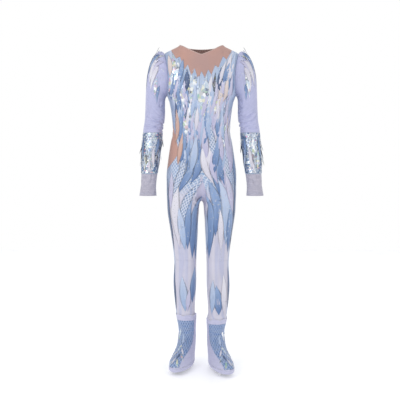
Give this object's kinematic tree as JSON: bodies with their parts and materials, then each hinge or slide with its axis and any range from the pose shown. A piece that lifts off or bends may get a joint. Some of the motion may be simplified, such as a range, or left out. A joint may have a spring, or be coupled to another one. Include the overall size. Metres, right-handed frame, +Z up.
{
  "type": "figure skating costume",
  "caption": "Hollow worn catsuit for figure skating, with long sleeves, mesh yoke and side inset, foil drops on the forearms and matching boot covers, held at the shoulders.",
  "frame": {"origin": "between the shoulders on the shoulder line, where the costume is held", "axes": "+Z up along the body, -Y the wearer's front, +X the wearer's left"},
  "size_m": [0.561, 0.3224, 1.4655],
  "materials": {
    "nude_mesh": "skin-tone power mesh, matt with a faint sheen",
    "stretch_print": "stretch jersey in ice blue, lavender and navy blades, satin",
    "lavender_jersey": "lavender stretch jersey, matt",
    "foil_mesh": "blue mesh with silver foil scales",
    "grey_jersey": "grey-lavender soft jersey, matt",
    "boot_lattice": "blue stretch cloth with a white lattice",
    "boot_lavender": "lavender-white stretch cloth, satin",
    "foil": "hologram foil on clear film, glossy",
    "white_plastic": "white plastic, satin"
  },
  "bodies": {
    "root": {"yoke_front": "nude_mesh", "yoke_back": "nude_mesh", "side_inset": "nude_mesh", "front_right": "stretch_print", "back_right": "stretch_print", "shin_right": "stretch_print", "sleeve_right": "lavender_jersey", "band_right": "foil_mesh", "cuff_right": "grey_jersey", "boot_upper_right": "boot_lattice", "boot_panel_right": "boot_lavender", "boot_collar_right": "boot_lavender", "boot_band_right": "boot_lavender", "pendant_right_0": "foil", "pendant_right_1": "foil", "pendant_right_2": "foil", "pendant_right_3": "foil", "pendant_right_4": "foil", "shard_right_0": "foil", "shard_right_1": "foil", "shard_right_2": "foil", "front_left": "stretch_print", "back_left": "stretch_print", "shin_left": "stretch_print", "sleeve_left": "lavender_jersey", "band_left": "foil_mesh", "cuff_left": "grey_jersey", "boot_upper_left": "boot_lattice", "boot_panel_left": "boot_lavender", "boot_collar_left": "boot_lavender", "boot_band_left": "boot_lavender", "pendant_left_0": "foil", "pendant_left_1": "foil", "pendant_left_2": "foil", "pendant_left_3": "foil", "pendant_left_4": "foil", "shard_left_0": "foil", "shard_left_1": "foil", "shard_left_2": "foil", "gusset": "lavender_jersey", "hook_tab": "white_plastic"}
  },
  "joints": []
}
